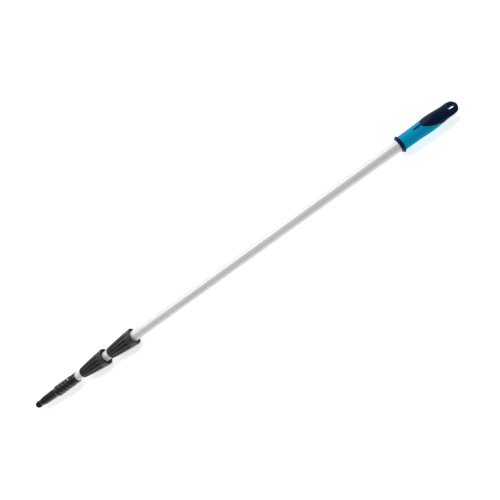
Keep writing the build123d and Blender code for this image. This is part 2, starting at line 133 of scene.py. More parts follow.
# tool cone
NECK_R = 9.9
SHOULDER = (31.0, 12.0)  # x and radius where the nose meets the tapered land
LAND_R = 13.1
LAND_LENGTH = 12.0
STEP_X = 81.0
STEP_HEIGHT = 0.8
RIB_COUNT = 5
RIB_START_X = 88.5
RIB_PITCH = 12.6
RIB_CREST_R = INNER_R + 4.1
RIB_VALLEY_R = INNER_R + 3.0
CONE_RIM_R = INNER_R + 2.4
CONE_EDGE = 0.9
CONE_BORE_R = INNER_R + 0.02
CONE_CORE_R = 8.0  # the bore ahead of the tube's socket
STEM_R = 4.5  # the nose cap's stem and the hole that it fits
SCREW_SEAT_R = INNER_R + 2.2
SCREW_ANGLE = math.radians(-17)
SCREW_X = sum(span("cone_screws")) / 2
SCREW_HEAD_R = 2.9
SCREW_HEAD_HEIGHT = 1.5
SCREW_CROSS = (1.75, 0.48, 0.8)  # half length and half width of the recess's arms, and their depth
SHANK_R = 1.5
SHANK_END = ((SHANK_R, -7.0), (1.0, -7.8), (0.0, -8.0))
POCKET_GAP = 0.35
POCKET_EDGE = 0.55

# grip
GRIP_X = span("grip_core")[0]
GRIP_LENGTH = POLE_LENGTH - GRIP_X
WAIST_R = OUTER_R + 3.0
RING_R = half_width("grip_core")
RING_END_X = 8.0
SOCKET_END_X = span("outer_tube")[1] - GRIP_X
GRIP_STATIONS = [
    # share of the grip's length, half width and half thickness beyond the waist
    (0.0, 0.0, 0.0),
    (0.043, 0.0, 0.0),
    (0.200, 0.0, 0.0),
    (0.367, 0.4, 0.4),
    (0.533, 1.3, 1.1),
    (0.633, 1.0, -0.8),
    (0.733, 0.3, -5.0),
    (0.813, -0.2, -8.8),
    (0.880, 0.2, -10.2),
    (0.933, -1.3, -11.2),
    (0.973, -5.6, -12.4),
    (0.993, -10.8, -14.0),
]
SOFT_EDGE = [
    # angle from the top, and where the soft sleeve ends there
    (0, 61.0),
    (30, 66.0),
    (45, 73.0),
    (60, 82.0),
    (75, 93.0),
    (110, 106.0),
    (180, 110.0),
]
TONGUE = (42.0, 66.0)
TONGUE_HALF_WIDTH = 2.7
TONGUE_RISE = 0.28
TONGUE_NOSE = 2.0
SLOT_R = 4.6
SLOT_LENGTH = 17.0
SLOT_FROM_TIP = 6.0
SLOT_ENDS = (GRIP_LENGTH - SLOT_FROM_TIP - SLOT_LENGTH + SLOT_R, GRIP_LENGTH - SLOT_FROM_TIP - SLOT_R)
SLOT_FILLET = 1.5
SOCKET_R = OUTER_R + 0.02
SEAM_GAP = 0.15  # between the soft sleeve and the ring ahead of it
REAR_SEAM_GAP = 0.18
SOFT_BEAD_HEIGHT = 0.22
SOFT_BEAD_PLACE = 1.3  # from the sleeve's rear edge
SOFT_BEAD_WIDTH = 0.8
CORE_LEDGE = 1.4  # the even strip of the moulding along the sleeve's rear edge
SOFT_THICKNESS = 1.15
SOFT_SEAT_DEPTH = 1.3
TAIL_START = 113.0  # where the rows across the grip stop following the soft sleeve's edge
TAIL_ROW_STEP = 0.5


# ---- mesh tools ----------------------------------------------------------------------------------

SAME_POINT = 1e-7  # metres


def direction(angle):
    """(y, z) of a unit step away from the axis at an angle from the top towards -Y."""
    return -np.sin(angle), np.cos(angle)


def polar(x, radius, angle):
    """Points at a place along the pole, a distance from its axis and an angle round it."""
    x, radius, angle = np.broadcast_arrays(x, radius, angle)
    across, up = direction(angle)
    return np.stack([x, radius * across, radius * up], -1)


def grid_faces(rows, columns, first, close_rows):
    """Quads over a grid of points whose columns join up in a ring, numbered from its first point."""
    i = np.arange(rows if close_rows else rows - 1)[:, None]
    j = np.arange(columns)[None, :]
    next_i = (i + 1) % rows
    next_j = (j + 1) % columns
    corners = (
        i * columns + j,
        i * columns + next_j,
        next_i * columns + next_j,
        next_i * columns + j,
    )
    return np.stack(np.broadcast_arrays(*corners), -1).reshape(-1, 4) + first


def shown(name, grids, body, node, finish, sharp=40):
    """A piece that stands for a CAD node, made of grids of points, each (points, whether its rows
    close up in a loop). Edges sharper than `sharp` degrees stay crisp."""
    points, faces, first = [], [], 0
    for grid, close_rows in grids:
        rows, columns = grid.shape[:2]
        points.append(grid.reshape(-1, 3))
        faces.append(grid_faces(rows, columns, first, close_rows))
        first += rows * columns
    points = np.concatenate(points) * MM + np.array([NOSE_X, 0, AXIS_Z])
    faces = np.concatenate(faces)
    mesh = bpy.data.meshes.new(name)
    mesh.vertices.add(len(points))
    mesh.vertices.foreach_set("co", points.astype(np.float32).ravel())
    mesh.loops.add(faces.size)
    mesh.loops.foreach_set("vertex_index", faces.astype(np.int32).ravel())
    mesh.polygons.add(len(faces))
    mesh.polygons.foreach_set("loop_start", np.arange(0, faces.size, 4, dtype=np.int32))
    mesh.update(calc_edges=True)
    tidy_mesh(mesh, sharp)
    piece = bpy.data.objects.new(name, mesh)
    bpy.context.scene.collection.objects.link(piece)
    mesh.materials.append(finish)
    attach(piece, body)
    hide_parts(node)
    return piece


def tidy_mesh(mesh, sharp):
    """Merges the rings that meet at a point, turns faces outwards and keeps hard corners crisp."""
    bm = bmesh.new()
    bm.from_mesh(mesh)
    bmesh.ops.remove_doubles(bm, verts=bm.verts, dist=SAME_POINT)
    bmesh.ops.dissolve_degenerate(bm, edges=bm.edges, dist=SAME_POINT)
    bmesh.ops.recalc_face_normals(bm, faces=bm.faces)
    bm.to_mesh(mesh)
    bm.free()
    mesh.polygons.foreach_set("use_smooth", np.ones(len(mesh.polygons), bool))
    mesh.set_sharp_from_angle(angle=math.radians(sharp))
    mesh.update()


def rounded(corners, closed=True, steps=4):
    """An outline of (x, radius, rounding) corners with each corner turned into a short curve."""
    out = []
    count = len(corners)
    for i, (x, r, size) in enumerate(corners):
        here = np.array([x, r])
        if size <= 0 or (not closed and i in (0, count - 1)):
            out.append(here)
            continue
        before = np.array(corners[i - 1][:2]) - here
        after = np.array(corners[(i + 1) % count][:2]) - here
        reach = min(size, 0.48 * np.linalg.norm(before), 0.48 * np.linalg.norm(after))
        a = here + before / np.linalg.norm(before) * reach
        b = here + after / np.linalg.norm(after) * reach
        for t in np.linspace(0, 1, steps + 1):
            out.append((1 - t) ** 2 * a + 2 * t * (1 - t) * here + t**2 * b)
    return np.array(out)


def lathe(outline, columns):
    """The outline turned about the pole's axis."""
    angles = np.linspace(0, 2 * math.pi, columns, endpoint=False)
    return polar(outline[:, 0][:, None], outline[:, 1][:, None], angles[None, :])


def smooth_curve(stations):
    """A natural cubic spline through (x, y, ...) stations, as a function of x."""
    table = np.array(stations, float)
    x, y = table[:, 0], table[:, 1:]
    h = np.diff(x)
    n = len(x)
    system = np.eye(n)
    known = np.zeros((n, y.shape[1]))
    for i in range(1, n - 1):
        system[i, i - 1 : i + 2] = h[i - 1], 2 * (h[i - 1] + h[i]), h[i]
        known[i] = 6 * ((y[i + 1] - y[i]) / h[i] - (y[i] - y[i - 1]) / h[i - 1])
    bend = np.linalg.solve(system, known)

    def at(where):
        where = np.asarray(where, float)
        i = np.clip(np.searchsorted(x, where) - 1, 0, n - 2)
        t = (where - x[i])[..., None]
        s = (x[i + 1] - where)[..., None]
        width = h[i][..., None]
        value = bend[i] * s**3 + bend[i + 1] * t**3
        value = value / (6 * width)
        value += (y[i] / width - bend[i] * width / 6) * s
        value += (y[i + 1] / width - bend[i + 1] * width / 6) * t
        return value if y.shape[1] > 1 else value[..., 0]

    return at


def ease(t):
    """0 to 1 with level ends."""
    t = np.clip(t, 0, 1)
    return t * t * (3 - 2 * t)


# ---- materials -----------------------------------------------------------------------------------


class Finish:
    """A procedural material: a Principled shader with noise driving its colour, roughness and bump."""

    def __init__(self, name, roughness, metallic=0.0, **sockets):
        self.material = bpy.data.materials.new(name)
        self.material.use_nodes = True
        self.nodes = self.material.node_tree.nodes
        self.links = self.material.node_tree.links
        self.shader = self.nodes["Principled BSDF"]
        self.shader.inputs["Roughness"].default_value = roughness
        self.shader.inputs["Metallic"].default_value = metallic
        for socket, value in sockets.items():
            self.shader.inputs[socket.replace("_", " ")].default_value = value
        self.place = self.nodes.new("ShaderNodeTexCoord").outputs["Object"]
        self.normal = None

    def stretched(self, scale, turn=(0, 0, 0)):
        """The place on the object scaled along each axis, so that a noise draws out into lines."""
        mapping = self.nodes.new("ShaderNodeMapping")
        mapping.inputs["Scale"].default_value = scale
        mapping.inputs["Rotation"].default_value = turn
        self.links.new(self.place, mapping.inputs["Vector"])
        return mapping.outputs["Vector"]

    def noise(self, scale, detail=3.0, roughness=0.55, vector=None, distortion=0.0):
        node = self.nodes.new("ShaderNodeTexNoise")
        node.inputs["Scale"].default_value = scale
        node.inputs["Detail"].default_value = detail
        node.inputs["Roughness"].default_value = roughness
        node.inputs["Distortion"].default_value = distortion
        self.links.new(vector or self.place, node.inputs["Vector"])
        return node.outputs["Fac"]

    def cells(self, scale):
        node = self.nodes.new("ShaderNodeTexVoronoi")
        node.inputs["Scale"].default_value = scale
        self.links.new(self.place, node.inputs["Vector"])
        return node.outputs["Distance"]

    def ramp(self, value, stops):
        """Maps a value to a colour or grey through (position, colour) stops."""
        node = self.nodes.new("ShaderNodeValToRGB")
        elements = node.color_ramp.elements
        while len(elements) < len(stops):
            elements.new(0.5)
        for element, (position, colour) in zip(elements, stops):
            element.position = position
            element.color = (*colour, 1) if isinstance(colour, tuple) else (colour, colour, colour, 1)
        self.links.new(value, node.inputs["Fac"])
        return node.outputs["Color"]

    def mixed(self, factor, first, second, blend="MIX"):
        node = self.nodes.new("ShaderNodeMix")
        node.data_type = "RGBA"
        node.blend_type = blend
        for socket, value in ((node.inputs[0], factor), (node.inputs[6], first), (node.inputs[7], second)):
            if isinstance(value, bpy.types.NodeSocket):
                self.links.new(value, socket)
            else:
                socket.default_value = value if isinstance(value, float) else (*value, 1)
        return node.outputs[2]

    def edges(self, low, high):
        """1 on outward edges and 0 elsewhere, from the mesh's own curvature."""
        node = self.nodes.new("ShaderNodeNewGeometry")
        return self.ramp(node.outputs["Pointiness"], [(low, 0.0), (high, 1.0)])

    def attribute(self, name):
        """A value stored on the mesh's points."""
        node = self.nodes.new("ShaderNodeAttribute")
        node.attribute_name = name
        return node.outputs["Fac"]

    def colour(self, value):
        self.links.new(value, self.shader.inputs["Base Color"])

    def rough(self, value, low, high):
        """Roughness from low to high over the middle of the value's range."""
        self.links.new(self.ramp(value, [(0.3, low), (0.7, high)]), self.shader.inputs["Roughness"])

    def bump(self, height, depth_mm, strength=1.0):
        node = self.nodes.new("ShaderNodeBump")
        node.inputs["Strength"].default_value = strength
        node.inputs["Distance"].default_value = depth_mm * MM
        self.links.new(height, node.inputs["Height"])
        if self.normal:
            self.links.new(self.normal, node.inputs["Normal"])
        self.normal = node.outputs["Normal"]
        self.links.new(self.normal, self.shader.inputs["Normal"])


def drawn_aluminium():
    """Satin anodised tube with fine lines along it from the draw die and a few handling marks."""
    f = Finish("anodised_aluminium", 0.34, metallic=0.15)
    lines = f.noise(1.0, 4.0, 0.6, f.stretched((6, 1400, 1400)))
    broad = f.noise(1.0, 2.0, 0.5, f.stretched((3, 160, 160)))
    clouds = f.noise(9.0, 3.0, 0.5)
    base = f.ramp(clouds, [(0.3, (0.83, 0.835, 0.845)), (0.7, (0.88, 0.885, 0.89))])
    f.colour(f.mixed(0.18, base, f.ramp(lines, [(0.35, 0.66), (0.65, 0.98)]), "MULTIPLY"))
    f.rough(f.mixed(0.5, lines, broad), 0.28, 0.42)
    f.bump(lines, 0.012, 0.5)
    marks = f.noise(1.0, 2.0, 0.7, f.stretched((30, 30, 600), (0.3, 0.2, 0.5)))
    f.bump(f.ramp(marks, [(0.70, 0.0), (0.74, 1.0)]), 0.01, 0.35)
    return f.material


# painted shade: the near-black colour that the collar grooves take on with depth, standing in for the shadow
# in them
GROOVE_PAINTED_SHADE = (0.0012, 0.0012, 0.0012)
DULLED = (2.0, 2.0, 2.0)  # past the end of the roughness range


def moulded_black(name, base, edge_wear_and_highlight, low, high, grain, grain_depth, shine=0.3, grooved=False):
    """Black plastic: a fine eroded grain, faint flow clouds, and outer edges painted lighter, part wear and
    part painted highlight. With grooved set, painted shade darkens the grooves where shadow falls. Of the
    two greys, the first is the body's colour and the second the edges', and low and high are its roughness."""
    f = Finish(name, 0.5, Specular_IOR_Level=shine)
    fine = f.noise(grain, 4.0, 0.65)
    clouds = f.noise(45.0, 3.0, 0.5, distortion=0.4)
    flow = f.mixed(clouds, tuple(0.75 * c for c in base), tuple(1.3 * c for c in base))
    # outer edges painted lighter: part wear, part painted highlight
    colour_with_painted_light = f.mixed(f.edges(0.52, 0.60), flow, edge_wear_and_highlight)
    grain_rough = f.mixed(0.5, fine, clouds)
    # painted shade: deeper in a groove the colour goes to near black and the roughness up, standing in for
    # the shadow in the grooves
    if grooved:
        groove_shade_mask = f.attribute("groove")
        colour_with_painted_light = f.mixed(groove_shade_mask, colour_with_painted_light, GROOVE_PAINTED_SHADE)
        grain_rough = f.mixed(f.ramp(groove_shade_mask, [(0.2, 0.0), (0.6, 1.0)]), grain_rough, DULLED)
    f.colour(colour_with_painted_light)
    f.rough(grain_rough, low, high)
    f.bump(fine, grain_depth, 0.6)
    return f.material


def soft_rubber(name, dark, light, grain, grain_depth, shine):
    """Matt overmoulded rubber with a fine dotted grain and a little dust in its colour."""
    f = Finish(name, 0.62, Specular_IOR_Level=shine)
    dots = f.cells(grain)
    clouds = f.noise(30.0, 4.0, 0.55, distortion=0.6)
    fine = f.noise(grain * 1.7, 3.0, 0.6)
    f.colour(f.mixed(0.12, f.mixed(clouds, dark, light), f.ramp(fine, [(0.3, 0.72), (0.7, 1.0)]), "MULTIPLY"))
    f.rough(f.mixed(0.4, clouds, fine), 0.50, 0.70)
    f.bump(dots, grain_depth, 0.5)
    f.bump(fine, grain_depth / 2, 0.4)
    return f.material


def navy_plastic():
    """The grip's hard moulding: satin navy with a fine grain, its outer edges painted lighter, part wear and
    part painted highlight.
    """
    f = Finish("grip_navy", 0.36, Specular_IOR_Level=0.12)
    fine = f.noise(2600.0, 4.0, 0.6)
    clouds = f.noise(28.0, 3.0, 0.5, distortion=0.5)
    flow = f.mixed(clouds, (0.0, 0.008, 0.032), (0.0, 0.014, 0.050))
    # outer edges painted lighter: part wear, part painted highlight
    f.colour(f.mixed(f.edges(0.52, 0.62), flow, (0.0, 0.025, 0.075)))
    f.rough(f.mixed(0.5, fine, clouds), 0.30, 0.44)
    f.bump(fine, 0.012, 0.5)
    return f.material


def zinc_steel():
    """Plated screw metal: turning marks round the head and a slightly mottled plate."""
    f = Finish("zinc_steel", 0.3, metallic=1.0)
    turned = f.noise(1.0, 3.0, 0.6, f.stretched((2500, 2500, 300)))
    mottled = f.noise(600.0, 3.0, 0.5)
    f.colour(f.ramp(mottled, [(0.3, (0.58, 0.59, 0.60)), (0.7, (0.74, 0.74, 0.73))]))
    f.rough(turned, 0.22, 0.38)
    f.bump(turned, 0.006, 0.5)
    return f.material


def white_nylon():
    """Natural white plastic for the guides and rings inside the pole."""
    f = Finish("white_nylon", 0.45, Subsurface_Weight=0.1)
    f.shader.inputs["Subsurface Radius"].default_value = (0.002, 0.002, 0.0015)
    fine = f.noise(1500.0, 3.0, 0.6)
    clouds = f.noise(60.0, 3.0, 0.5)
    f.colour(f.ramp(clouds, [(0.3, (0.74, 0.73, 0.68)), (0.7, (0.82, 0.81, 0.77))]))
    f.rough(fine, 0.38, 0.52)
    f.bump(fine, 0.01, 0.5)
    return f.material


TUBE = drawn_aluminium()
COLLAR = moulded_black(
    "collar_black",
    base=(0.034, 0.034, 0.035),
    edge_wear_and_highlight=(0.085, 0.085, 0.087),
    low=0.26,
    high=0.38,
    grain=2400.0,
    grain_depth=0.02,
    shine=0.5,
    grooved=True,
)
CAP = moulded_black(
    "cap_black",
    base=(0.003, 0.003, 0.003),
    edge_wear_and_highlight=(0.010, 0.010, 0.011),
    low=0.45,
    high=0.6,
    grain=2400.0,
    grain_depth=0.015,
    shine=0.12,
)
CONE = moulded_black(
    "cone_black",
    base=(0.012, 0.012, 0.013),
    edge_wear_and_highlight=(0.050, 0.050, 0.051),
    low=0.24,
    high=0.36,
    grain=2000.0,
    grain_depth=0.015,
    shine=0.45,
)
SLEEVE = moulded_black(
    "sleeve_black",
    base=(0.03, 0.03, 0.032),
    edge_wear_and_highlight=(0.07, 0.07, 0.072),
    low=0.4,
    high=0.55,
    grain=2200.0,
    grain_depth=0.015,
)
NOSE = soft_rubber(
    "nose_rubber",
    dark=(0.004, 0.004, 0.004),
    light=(0.009, 0.009, 0.009),
    grain=1500.0,
    grain_depth=0.02,
    shine=0.2,
)
GRIP_SOFT = soft_rubber(
    "grip_blue",
    dark=(0.0, 0.31, 0.56),
    light=(0.0, 0.37, 0.62),
    grain=1300.0,
    grain_depth=0.03,
    shine=0.06,
)
GRIP_HARD = navy_plastic()
STEEL = zinc_steel()
NYLON = white_nylon()


# ---- tubes ---------------------------------------------------------------------------------------


def tube_outline(x0, x1, radius, bands=()):
    """A tube's wall as a closed outline. A band (x, width, swell) is swaged out or in."""
    bore = radius - TUBE_WALL
    outside = [(x0, radius, TUBE_EDGE)]
    inside = [(x0, bore, TUBE_EDGE)]
    for x, width, swell in bands:
        start = x - width / 2
        end = x + width / 2
        slope = max(abs(swell), BAND_SLOPE)
        for at, lift in ((start, 0), (start + slope, swell), (end - slope, swell), (end, 0)):
            outside.append((at, radius + lift, BAND_EDGE))
            inside.append((at, bore + lift, BAND_EDGE))
    outside.append((x1, radius, TUBE_EDGE))
    inside.append((x1, bore, TUBE_EDGE))
    return rounded(outside + inside[::-1])


def tubes():
    stages = [
        ("outer_tube", "handle", OUTER_R, ()),
        ("middle_tube", "middle", MIDDLE_R, (BEAD, SWAGE)),
        ("inner_tube", "inner", INNER_R, (BEAD, SWAGE)),
    ]
    for node, body, radius, bands in stages:
        x0, x1 = span(node)
        placed = [(x1 - from_end, width, swell) for from_end, width, swell in bands]
        outline = tube_outline(x0, x1, radius, placed)
        shown(f"{node}_drawn", [(lathe(outline, ROUND_COLUMNS), True)], body, node, TUBE)


# ---- lock collars --------------------------------------------------------------------------------


def collar_radius(narrow_r, x, length):
    share = x / length
    return narrow_r + (MOUTH_R - narrow_r) * share + 4 * COLLAR_BULGE * share * (1 - share)


def collar_columns():
    """The columns of one groove pitch, in order round the collar: (distance from the middle of the
    nearer groove, share of the way on to the middle of the land, side of that groove)."""
    near = [0, 0.5, 0.95, 1.3, 1.6, 1.85, 2.05, 2.25, 2.45, 2.65, 2.9]
    half = [(offset, 0.0) for offset in near] + [(near[-1], share) for share in (0.25, 0.5, 0.75)]
    middle = [(near[-1], 1.0)]
    return [(*column, 1) for column in half + middle] + [(*column, -1) for column in half[:0:-1]]


def collar_shell(x0, x1, narrow_r):
    """The fluted outside, from the narrow face to the mouth's lip, as a grid of points."""
    length = x1 - x0
    turn = np.linspace(0, math.pi / 2, 6)
    edge = [(COLLAR_EDGE * (1 - math.sin(t)), COLLAR_EDGE * (1 - math.cos(t))) for t in turn]
    front = edge[::-1]
    rear = [(length - x, cut) for x, cut in edge]
    run_out = np.linspace(GROOVE_LENGTH - 1.5, GROOVE_LENGTH + GROOVE_RUN_OUT + 0.4, 12)
    plain = np.linspace(PLAIN_MARGIN, GROOVE_LENGTH - PLAIN_MARGIN, 22)
    rim = [FLAT_START - 0.2, FLAT_START, FLAT_START + 0.3, 78.0, 82.0]
    rows = front + [(x, 0.0) for x in sorted([*plain, *run_out, *rim, 2.0])] + rear
    columns = collar_columns() * GROOVE_COUNT
    grid = np.zeros((len(rows), len(columns), 3))
    pitch_index = np.repeat(np.arange(GROOVE_COUNT), len(collar_columns()))
    near = np.array([c[0] for c in columns])
    share = np.array([c[1] for c in columns])
    side = np.array([c[2] for c in columns])
    for i, (x, cut) in enumerate(rows):
        outside = collar_radius(narrow_r, x, length)
        half_pitch = outside * GROOVE_STEP / 2
        offset = near + (half_pitch - near) * share
        nearer_groove = pitch_index + (side < 0)
        angle = GROOVE_ANGLE + nearer_groove * GROOVE_STEP + side * offset / outside
        depth = np.interp(x, (0, GROOVE_LENGTH), GROOVE_DEPTHS)
        depth *= 1 - ease((x - GROOVE_LENGTH) / GROOVE_RUN_OUT)
        reach = np.clip(offset / GROOVE_HALF_WIDTH, 0, 1) ** GROOVE_SHARPNESS
        crown = RIB_CROWN * (1 - offset / half_pitch) ** 2 * depth / GROOVE_DEPTHS[1]
        radius = outside - depth * 0.5 * (1 + np.cos(math.pi * reach)) - crown
        if x >= FLAT_START:
            around = (angle - math.pi + GROOVE_STEP / 2) % GROOVE_STEP - GROOVE_STEP / 2
            radius = np.minimum(radius, FLAT_R / np.cos(around))
        radius = np.maximum(radius - cut, narrow_r - NARROW_HEIGHT + LEAST_WALL)
        grid[i] = polar(x0 + x, radius, angle)
    return grid


def mark_grooves(piece, x0, length, narrow_r):
    """Stores how far down in a groove each point of a collar's outside lies, from 0 to 1, as the mask for the
    painted shade in the grooves.
    """
    mesh = piece.data
    points = np.zeros(len(mesh.vertices) * 3, np.float32)
    mesh.vertices.foreach_get("co", points)
    points = (points.reshape(-1, 3) - np.array([NOSE_X, 0, AXIS_Z])) / MM
    x = points[:, 0] - x0
    below = collar_radius(narrow_r, x, length) - np.hypot(points[:, 1], points[:, 2])
    depth = np.interp(x, (0, GROOVE_LENGTH), GROOVE_DEPTHS)
    grooved = (x > COLLAR_EDGE) * (x < GROOVE_LENGTH + GROOVE_RUN_OUT)
    groove_shade_mask = np.clip(below / depth * 1.5 - 0.3, 0, 1) * grooved
    layer = mesh.attributes.new("groove", "FLOAT", "POINT")
    layer.data.foreach_set("value", groove_shade_mask.astype(np.float32))


def collar(node, cap_node, body, tube_r, slide_r):
    """A lock nut with its bored inside, and the ring that closes its mouth."""
    x0, x1 = span(node)
    cap_x0, cap_x1 = span(cap_node)
    shell = collar_shell(x0, x1, slide_r + NARROW_HEIGHT)
    seat_r = half_width(cap_node)
    bored = rounded(
        [
            (x1, seat_r + LIP_HEIGHT, 0.3),
            (x1, seat_r + SEAT_GAP, 0.5),
            (cap_x0, seat_r + SEAT_GAP, 0.2),
            (cap_x0, tube_r + CHAMBER_HEIGHT, 0.2),
            (x1 - CHAMBER_DEPTH, tube_r + CHAMBER_HEIGHT, 0.2),
            (x1 - CHAMBER_DEPTH, tube_r + THREAD_BORE_HEIGHT, 0.2),
            (x0 + THREAD_BORE_X, tube_r + THREAD_BORE_HEIGHT, 0.2),
            (x0 + RING_BORE_X, slide_r + RING_BORE_HEIGHT, 0.2),
            (x0 + RING_SEAT_X, slide_r + RING_BORE_HEIGHT, 0.2),
            (x0 + RING_SEAT_X, slide_r + ENTRY_HEIGHT, 0.2),
            (x0, slide_r + ENTRY_HEIGHT, 0.4),
            (x0, slide_r + ENTRY_LEAD, 0.2),
        ],
        closed=False,
    )
    angles = np.arctan2(-shell[-1, :, 1], shell[-1, :, 2])
    inside = polar(bored[:, 0][:, None], bored[:, 1][:, None], angles[None, :])
    wall = np.concatenate([shell, inside])
    piece = shown(node + "_fluted", [(wall, True)], body, node, COLLAR, sharp=50)
    mark_grooves(piece, x0, x1 - x0, slide_r + NARROW_HEIGHT)
    ring = rounded(
        [
            (cap_x0, tube_r + CAP_GAP, 0.2),
            (cap_x0, seat_r, 0.2),
            (cap_x1, seat_r, 0.35),
            (cap_x1, seat_r - CAP_RIM, 0.2),
            (cap_x1 - CAP_DISH, seat_r - CAP_RIM_FOOT, 0.3),
            (cap_x1 - CAP_DISH, tube_r + CAP_BEAD[0], 0.4),
            (cap_x1, tube_r + CAP_BEAD[1], 0.3),
            (cap_x1, tube_r + CAP_BEAD[2], 0.5),
            (cap_x1 - CAP_GAP, tube_r + CAP_GAP, 0.3),
        ]
    )
    shown(cap_node + "_ring", [(lathe(ring, ROUND_COLUMNS), True)], body, cap_node, CAP)


# ---- tool cone -----------------------------------------------------------------------------------


def cone_outside():
    """(x, radius) down the cone from the shoulder of the nose to the rear rim."""
    x0, x1 = span("tool_cone")
    step_top = LAND_R + STEP_HEIGHT
    nose = rounded(
        [
            (x0, NECK_R, 0),
            (*SHOULDER, 3.0),
            (STEP_X - LAND_LENGTH, LAND_R, 2.0),
            (STEP_X - 0.2, LAND_R, 0.3),
            (STEP_X, step_top, 0),
        ],
        closed=False,
    )
    waves = [(STEP_X, step_top), (STEP_X + 3.4, RIB_CREST_R - 0.9)]
    for i in range(RIB_COUNT):
        crest_x = RIB_START_X + i * RIB_PITCH
        waves.append((crest_x, RIB_CREST_R + 0.2 - 0.1 * i))
        waves.append((crest_x + RIB_PITCH / 2, RIB_VALLEY_R))
    waves += [(x1 - 7.0, RIB_VALLEY_R + 0.05), (x1 - CONE_EDGE, CONE_RIM_R)]
    curve = smooth_curve(waves)
    to_seat = np.linspace(STEP_X, SCREW_X - 4.5, 90)[1:]
    seat = np.linspace(SCREW_X - 4, SCREW_X + 4, 33)
    to_rim = np.linspace(SCREW_X + 4.5, x1 - CONE_EDGE, 26)
    x = np.concatenate([to_seat, seat, to_rim])
    return np.concatenate([nose, np.stack([x, curve(x)], -1)])


def tool_cone():
    x0, x1 = span("tool_cone")
    socket_end = span("inner_tube")[0]
    stem_end = span("nose_cap")[1]
    outside = cone_outside()
    rest = rounded(
        [
            (x1 - CONE_EDGE, CONE_RIM_R, 0),
            (x1, INNER_R + 1.7, 0.6),
            (x1, CONE_BORE_R, 0.3),
            (socket_end, CONE_BORE_R, 0.2),
            (socket_end, CONE_CORE_R, 0.5),
            (stem_end, CONE_CORE_R, 0.2),
            (stem_end, STEM_R, 0.1),
            (x0, STEM_R, 0.1),
        ],
        closed=False,
    )[1:]
    outline = np.concatenate([outside, rest])
    grid = lathe(outline, 288)
    radius = np.hypot(grid[..., 1], grid[..., 2])
    angle = np.arctan2(-grid[..., 1], grid[..., 2])
    pocket_r = SCREW_HEAD_R + POCKET_GAP
    for seat_angle in (SCREW_ANGLE, SCREW_ANGLE + math.pi):
        turned = (angle - seat_angle + math.pi) % (2 * math.pi) - math.pi
        across = radius * np.sin(turned)
        off = np.hypot(grid[..., 0] - SCREW_X, across)
        floor = SCREW_SEAT_R / np.maximum(np.cos(turned), 0.2)
        sink = 1 - ease((off - pocket_r) / POCKET_EDGE)
        outer = (radius > RIB_VALLEY_R - 0.6) & (np.abs(turned) < 1)
        radius = np.where(outer, radius + (np.minimum(floor, radius) - radius) * sink, radius)
    grid = polar(grid[..., 0], radius, angle)
    shown("tool_cone_ribbed", [(grid, True)], "inner", "tool_cone", CONE, sharp=50)


def nose_cap():
    x0, x1 = span("nose_cap")
    ball_r = half_width("nose_cap")
    turn = np.linspace(0, math.pi / 2 + 0.25, 22)
    ball = [(x0 + ball_r - ball_r * math.cos(t), ball_r * math.sin(t)) for t in turn]
    neck = rounded(
        [
            (*ball[-1], 0),
            (16.5, ball_r - 0.3, 1.5),
            (19.4, 9.6, 0.6),
            (20.5, 9.4, 0.2),
            (20.5, STEM_R, 0.2),
            (x1, STEM_R, 0.4),
            (x1, 0, 0),
        ],
        closed=False,
    )[1:]
    outline = np.concatenate([np.array(ball), neck])
    shown("nose_ball", [(lathe(outline, 96), False)], "inner", "nose_cap", NOSE)


def screw(angle):
    """A domed head with a cross recess, and its shank, pointing away from the axis at an angle."""
    dome = (SCREW_HEAD_R**2 + SCREW_HEAD_HEIGHT**2) / (2 * SCREW_HEAD_HEIGHT)
    profile = [0, 0.12, 0.25, 0.38, 0.5, 0.6, 0.7, 0.8, 0.88, 0.95, 1.0]
    turn = np.linspace(0, 2 * math.pi, 64, endpoint=False)
    cross_length, cross_width, cross_depth = SCREW_CROSS

    def arm(along, across):
        return ease((cross_length - np.abs(along)) / 0.3) * ease((cross_width - np.abs(across)) / 0.22)

    rows = []
    for share in profile:
        out = share * (SCREW_HEAD_R - 0.15)
        x = out * np.cos(turn)
        y = out * np.sin(turn)
        up = SCREW_HEAD_HEIGHT - dome + np.sqrt(dome**2 - x**2 - y**2)
        rows.append((x, y, up - cross_depth * np.maximum(arm(x, y), arm(y, x))))
    for out, up in ((SCREW_HEAD_R, 0.1), (SCREW_HEAD_R - 0.05, 0.0), (SHANK_R, 0.0), *SHANK_END):
        rows.append((out * np.cos(turn), out * np.sin(turn), np.full(turn.shape, up)))
    grid = np.array(rows)
    lift = SCREW_SEAT_R + grid[:, 2]
    across, up = direction(angle)
    y = lift * across + grid[:, 1] * up
    z = lift * up - grid[:, 1] * across
    return np.stack([SCREW_X + grid[:, 0], y, z], -1)


def cone_screws():
    grids = [(screw(SCREW_ANGLE), False), (screw(SCREW_ANGLE + math.pi), False)]
    shown("cone_screws_domed", grids, "inner", "cone_screws", STEEL, sharp=45)


# ---- grip ----------------------------------------------------------------------------------------

GRIP_SHAPE = smooth_curve(
    [(share * GRIP_LENGTH, WAIST_R + wide, WAIST_R + thick) for share, wide, thick in GRIP_STATIONS]
)
GRIP_LAST = GRIP_STATIONS[-1][0] * GRIP_LENGTH
EDGE_CURVE = smooth_curve(SOFT_EDGE)
GRIP_COLUMNS = 240


def grip_half_sizes(x):
    """Half width and half thickness of the grip's outside, x from its front."""
    sizes = GRIP_SHAPE(np.minimum(x, GRIP_LAST))
    past = np.clip((x - GRIP_LAST) / (GRIP_LENGTH - GRIP_LAST), 0, 1)
    closing = np.sqrt(1 - past**2)
    return sizes[..., 0] * closing, sizes[..., 1] * closing


def soft_end(angle):
    """Where the soft sleeve ends, x from the grip's front, at an angle from the top."""
    fold = np.degrees(np.abs((angle + math.pi) % (2 * math.pi) - math.pi))
    return EDGE_CURVE(fold)


def slot_distance(x, y):
    """Distance outside the hanging slot's edge."""
    along = x - np.clip(x, *SLOT_ENDS)
    return np.hypot(along, y) - SLOT_R


